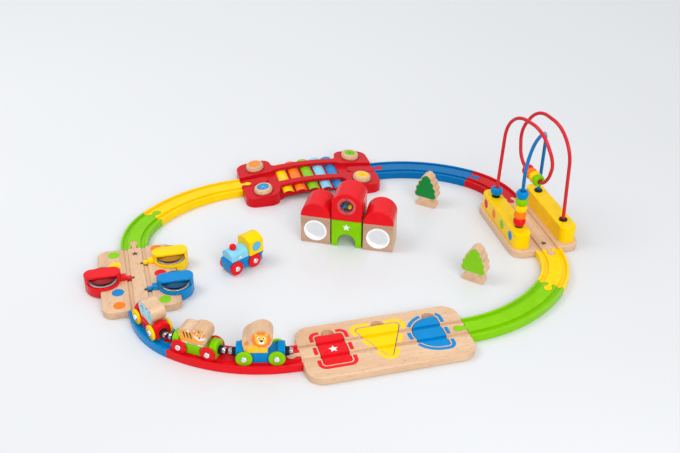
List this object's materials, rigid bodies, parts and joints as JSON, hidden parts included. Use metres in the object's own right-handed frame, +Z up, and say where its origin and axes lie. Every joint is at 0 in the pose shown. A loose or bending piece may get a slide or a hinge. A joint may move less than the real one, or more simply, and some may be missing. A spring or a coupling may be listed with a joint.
{
  "type": "wooden train set",
  "caption": "Wooden toy train loop with shape puzzle, cymbal, bead-maze and xylophone sections, animal cars, an engine, a stacking station and trees.",
  "frame": {"origin": "middle of the set's footprint, on the floor", "axes": "+X along the puzzle plate, left to right; +Y from the puzzle plate to the xylophone bridge; +Z up"},
  "size_m": [0.7386, 0.5632, 0.1942],
  "materials": {
    "paint_red": "gloss paint",
    "beech": "clear satin lacquer",
    "paint_yellow": "gloss paint",
    "paint_blue": "gloss paint",
    "paint_green": "gloss paint",
    "plastic_blue": "moulded gloss",
    "plastic_red": "moulded gloss",
    "plastic_yellow": "moulded gloss",
    "steel": "polished",
    "paint_light_blue": "gloss paint",
    "paint_orange": "gloss paint",
    "wire_blue": "gloss coat",
    "wire_red": "gloss coat",
    "window": "clear",
    "key_metal": "gloss paint, one colour per key"
  },
  "bodies": {
    "layout": {"track_long_blue": "paint_blue", "track_long_green": "paint_green", "track_long_red": "paint_red", "track_long_yellow": "paint_yellow", "track_short_blue": "paint_blue", "track_short_green": "paint_green", "track_short_red": "paint_red", "track_short_yellow": "paint_yellow", "puzzle_plate": "beech", "cymbal_plate": "beech", "cymbal_pivot_pins": "steel", "maze_base": "beech", "maze_blocks": "paint_yellow", "maze_wire_blue": "wire_blue", "maze_wire_red": "wire_red", "xylophone_frame": "paint_red", "xylophone_keys": "key_metal"},
    "insert_rectangle": {"puzzle_rectangle": "paint_red"},
    "insert_triangle": {"puzzle_triangle": "paint_yellow"},
    "insert_half_round": {"puzzle_half_round": "paint_blue"},
    "block_left": {"station_block_left": "beech"},
    "roof_left": {"station_roof_left": "paint_red"},
    "block_right": {"station_block_right": "beech"},
    "roof_right": {"station_roof_right": "paint_red"},
    "arch": {"station_arch": "paint_green"},
    "rattle": {"rattle_block": "paint_red", "rattle_window": "window"},
    "rattle_beads": {"rattle_beads": "plastic_yellow"},
    "tree_dark": {"tree_dark": "beech"},
    "tree_light": {"tree_light": "beech"},
    "cymbal_yellow": {"cymbal_arm_yellow": "plastic_yellow"},
    "discs_yellow": {"cymbal_discs_yellow": "steel"},
    "cymbal_blue": {"cymbal_arm_blue": "plastic_blue"},
    "discs_blue": {"cymbal_discs_blue": "steel"},
    "cymbal_red": {"cymbal_arm_red": "plastic_red"},
    "discs_red": {"cymbal_discs_red": "steel"},
    "bead_single": {"maze_bead_single": "paint_blue"},
    "beads_stack": {"maze_beads_stack": "paint_green"},
    "beads_loop": {"maze_beads_loop": "paint_orange"},
    "knob_red": {"xylophone_knob_red": "beech"},
    "knob_blue": {"xylophone_knob_blue": "beech"},
    "knob_green": {"xylophone_knob_green": "beech"},
    "knob_yellow": {"xylophone_knob_yellow": "beech"},
    "car_lion": {"car_lion_chassis": "paint_blue"},
    "figure_lion": {"car_lion_figure": "beech"},
    "wheels_lion_a": {"car_lion_wheels_a": "paint_green"},
    "wheels_lion_b": {"car_lion_wheels_b": "paint_green"},
    "car_tiger": {"car_tiger_chassis": "paint_green"},
    "figure_tiger": {"car_tiger_figure": "beech"},
    "wheels_tiger_a": {"car_tiger_wheels_a": "paint_red"},
    "wheels_tiger_b": {"car_tiger_wheels_b": "paint_red"},
    "car_hippo": {"car_hippo_chassis": "paint_red"},
    "figure_hippo": {"car_hippo_figure": "beech"},
    "wheels_hippo_a": {"car_hippo_wheels_a": "paint_yellow"},
    "wheels_hippo_b": {"car_hippo_wheels_b": "paint_yellow"},
    "engine": {"engine_chassis": "paint_blue", "engine_boiler": "paint_light_blue", "engine_cab": "paint_yellow"},
    "engine_wheels_front": {"engine_wheels_front": "paint_red"},
    "engine_wheels_rear": {"engine_wheels_rear": "paint_red"}
  },
  "joints": [
    {"name": "lift_rectangle", "type": "slide", "parent": "layout", "child": "insert_rectangle", "axis": [0, 0, 1], "range_m": [0, 0.03]},
    {"name": "lift_triangle", "type": "slide", "parent": "layout", "child": "insert_triangle", "axis": [0, 0, 1], "range_m": [0, 0.03]},
    {"name": "lift_half_round", "type": "slide", "parent": "layout", "child": "insert_half_round", "axis": [0, 0, 1], "range_m": [0, 0.03]},
    {"name": "lift_block_left", "type": "slide", "parent": "layout", "child": "block_left", "axis": [0, 0, 1], "range_m": [0, 0.05]},
    {"name": "lift_roof_left", "type": "slide", "parent": "block_left", "child": "roof_left", "axis": [0, 0, 1], "range_m": [0, 0.05]},
    {"name": "lift_block_right", "type": "slide", "parent": "layout", "child": "block_right", "axis": [0, 0, 1], "range_m": [0, 0.05]},
    {"name": "lift_roof_right", "type": "slide", "parent": "block_right", "child": "roof_right", "axis": [0, 0, 1], "range_m": [0, 0.05]},
    {"name": "lift_arch", "type": "slide", "parent": "layout", "child": "arch", "axis": [0, 0, 1], "range_m": [0, 0.05]},
    {"name": "lift_rattle", "type": "slide", "parent": "arch", "child": "rattle", "axis": [0, 0, 1], "range_m": [0, 0.05]},
    {"name": "rattle_roll", "type": "hinge", "parent": "rattle", "child": "rattle_beads", "pos_m": [0.02564, 0.0209, 0.0728], "axis": [0.4462, 0.8949, 0], "range_deg": [-120, 120]},
    {"name": "lift_tree_dark", "type": "slide", "parent": "layout", "child": "tree_dark", "axis": [0, 0, 1], "range_m": [0, 0.05]},
    {"name": "lift_tree_light", "type": "slide", "parent": "layout", "child": "tree_light", "axis": [0, 0, 1], "range_m": [0, 0.05]},
    {"name": "rock_yellow", "type": "hinge", "parent": "layout", "child": "cymbal_yellow", "pos_m": [-0.27341, 0.0301, 0.009], "axis": [0, -1, 0], "range_deg": [0, 13]},
    {"name": "spin_discs_yellow", "type": "hinge", "parent": "cymbal_yellow", "child": "discs_yellow", "pos_m": [-0.24351, 0.0301, 0.0177], "axis": [0, 0, 1], "continuous": true},
    {"name": "rock_blue", "type": "hinge", "parent": "layout", "child": "cymbal_blue", "pos_m": [-0.27341, -0.0371, 0.009], "axis": [0, -1, 0], "range_deg": [0, 13]},
    {"name": "spin_discs_blue", "type": "hinge", "parent": "cymbal_blue", "child": "discs_blue", "pos_m": [-0.24351, -0.0371, 0.0177], "axis": [0, 0, 1], "continuous": true},
    {"name": "rock_red", "type": "hinge", "parent": "layout", "child": "cymbal_red", "pos_m": [-0.31341, -0.0035, 0.009], "axis": [0, 1, 0], "range_deg": [0, 13]},
    {"name": "spin_discs_red", "type": "hinge", "parent": "cymbal_red", "child": "discs_red", "pos_m": [-0.34331, -0.0035, 0.0177], "axis": [0, 0, 1], "continuous": true},
    {"name": "bead_up_red_wire", "type": "slide", "parent": "layout", "child": "bead_single", "axis": [0.0763, 0.0714, 0.9945], "range_m": [0, 0.07]},
    {"name": "beads_up_blue_wire", "type": "slide", "parent": "layout", "child": "beads_stack", "axis": [-0.0193, -0.0212, 0.9996], "range_m": [0, 0.018]},
    {"name": "beads_on_loop", "type": "slide", "parent": "layout", "child": "beads_loop", "axis": [-0.0542, 0.9985, 0], "range_m": [-0.001, 0.001]},
    {"name": "turn_knob_red", "type": "hinge", "parent": "layout", "child": "knob_red", "pos_m": [-0.07355, 0.26094, 0.01844], "axis": [-0.1104, 0, 0.9939], "continuous": true},
    {"name": "turn_knob_blue", "type": "hinge", "parent": "layout", "child": "knob_blue", "pos_m": [-0.07355, 0.18234, 0.01844], "axis": [-0.1104, 0, 0.9939], "continuous": true},
    {"name": "turn_knob_green", "type": "hinge", "parent": "layout", "child": "knob_green", "pos_m": [0.09445, 0.26094, 0.01844], "axis": [0.1104, 0, 0.9939], "continuous": true},
    {"name": "turn_knob_yellow", "type": "hinge", "parent": "layout", "child": "knob_yellow", "pos_m": [0.09445, 0.18234, 0.01844], "axis": [0.1104, 0, 0.9939], "continuous": true},
    {"name": "travel_lion", "type": "hinge", "parent": "layout", "child": "car_lion", "pos_m": [-0.10455, -0.01064, 0.012], "axis": [0, 0, 1], "range_deg": [-3.6, 6.8]},
    {"name": "lift_figure_lion", "type": "slide", "parent": "car_lion", "child": "figure_lion", "axis": [0, 0, 1], "range_m": [0, 0.03]},
    {"name": "spin_wheels_lion_a", "type": "hinge", "parent": "car_lion", "child": "wheels_lion_a", "pos_m": [-0.13403, -0.22664, 0.02012], "axis": [0.23, 0.9732, 0], "range_deg": [-72.35, 135.76]},
    {"name": "spin_wheels_lion_b", "type": "hinge", "parent": "car_lion", "child": "wheels_lion_b", "pos_m": [-0.1749, -0.21698, 0.02012], "axis": [0.23, 0.9732, 0], "range_deg": [-72.35, 135.76]},
    {"name": "travel_tiger", "type": "hinge", "parent": "layout", "child": "car_tiger", "pos_m": [-0.10455, -0.01064, 0.012], "axis": [0, 0, 1], "range_deg": [-3.65, 6.85]},
    {"name": "lift_figure_tiger", "type": "slide", "parent": "car_tiger", "child": "figure_tiger", "axis": [0, 0, 1], "range_m": [0, 0.03]},
    {"name": "spin_wheels_tiger_a", "type": "hinge", "parent": "car_tiger", "child": "wheels_tiger_a", "pos_m": [-0.21412, -0.19911, 0.02012], "axis": [0.5835, 0.8121, 0], "range_deg": [-72.35, 135.76]},
    {"name": "spin_wheels_tiger_b", "type": "hinge", "parent": "car_tiger", "child": "wheels_tiger_b", "pos_m": [-0.24822, -0.1746, 0.02012], "axis": [0.5835, 0.8121, 0], "range_deg": [-72.35, 135.76]},
    {"name": "travel_hippo", "type": "hinge", "parent": "layout", "child": "car_hippo", "pos_m": [-0.17491, -0.081, 0.012], "axis": [0, 0, 1], "range_deg": [-6.67, 12.56]},
    {"name": "lift_figure_hippo", "type": "slide", "parent": "car_hippo", "child": "figure_hippo", "axis": [0, 0, 1], "range_m": [0, 0.03]},
    {"name": "spin_wheels_hippo_a", "type": "hinge", "parent": "car_hippo", "child": "wheels_hippo_a", "pos_m": [-0.27604, -0.14275, 0.02012], "axis": [0.9323, 0.3616, 0], "range_deg": [-72.35, 135.76]},
    {"name": "spin_wheels_hippo_b", "type": "hinge", "parent": "car_hippo", "child": "wheels_hippo_b", "pos_m": [-0.29123, -0.1036, 0.02012], "axis": [0.9323, 0.3616, 0], "range_deg": [-72.35, 135.76]},
    {"name": "engine_roll", "type": "slide", "parent": "layout", "child": "engine", "axis": [-0.8902, -0.4555, 0], "range_m": [-0.03, 0.03]},
    {"name": "spin_engine_wheels_front", "type": "hinge", "parent": "engine", "child": "engine_wheels_front", "pos_m": [-0.15764, -0.00482, 0.011], "axis": [0.4555, -0.8902, 0], "range_deg": [-157.26, 157.26]},
    {"name": "spin_engine_wheels_rear", "type": "hinge", "parent": "engine", "child": "engine_wheels_rear", "pos_m": [-0.12826, 0.01022, 0.011], "axis": [0.4555, -0.8902, 0], "range_deg": [-157.26, 157.26]}
  ],
  "couplings": [
    {"joint": "spin_wheels_lion_a", "follows": "travel_lion", "ratio": 19.818},
    {"joint": "spin_wheels_lion_b", "follows": "travel_lion", "ratio": 19.818},
    {"joint": "travel_tiger", "follows": "travel_lion", "ratio": 1},
    {"joint": "spin_wheels_tiger_a", "follows": "travel_lion", "ratio": 19.818},
    {"joint": "spin_wheels_tiger_b", "follows": "travel_lion", "ratio": 19.818},
    {"joint": "travel_hippo", "follows": "travel_lion", "ratio": 1.8397},
    {"joint": "spin_wheels_hippo_a", "follows": "travel_lion", "ratio": 19.818},
    {"joint": "spin_wheels_hippo_b", "follows": "travel_lion", "ratio": 19.818},
    {"joint": "spin_engine_wheels_front", "follows": "engine_roll", "rad_per_m": 90.909},
    {"joint": "spin_engine_wheels_rear", "follows": "engine_roll", "rad_per_m": 90.909}
  ]
}
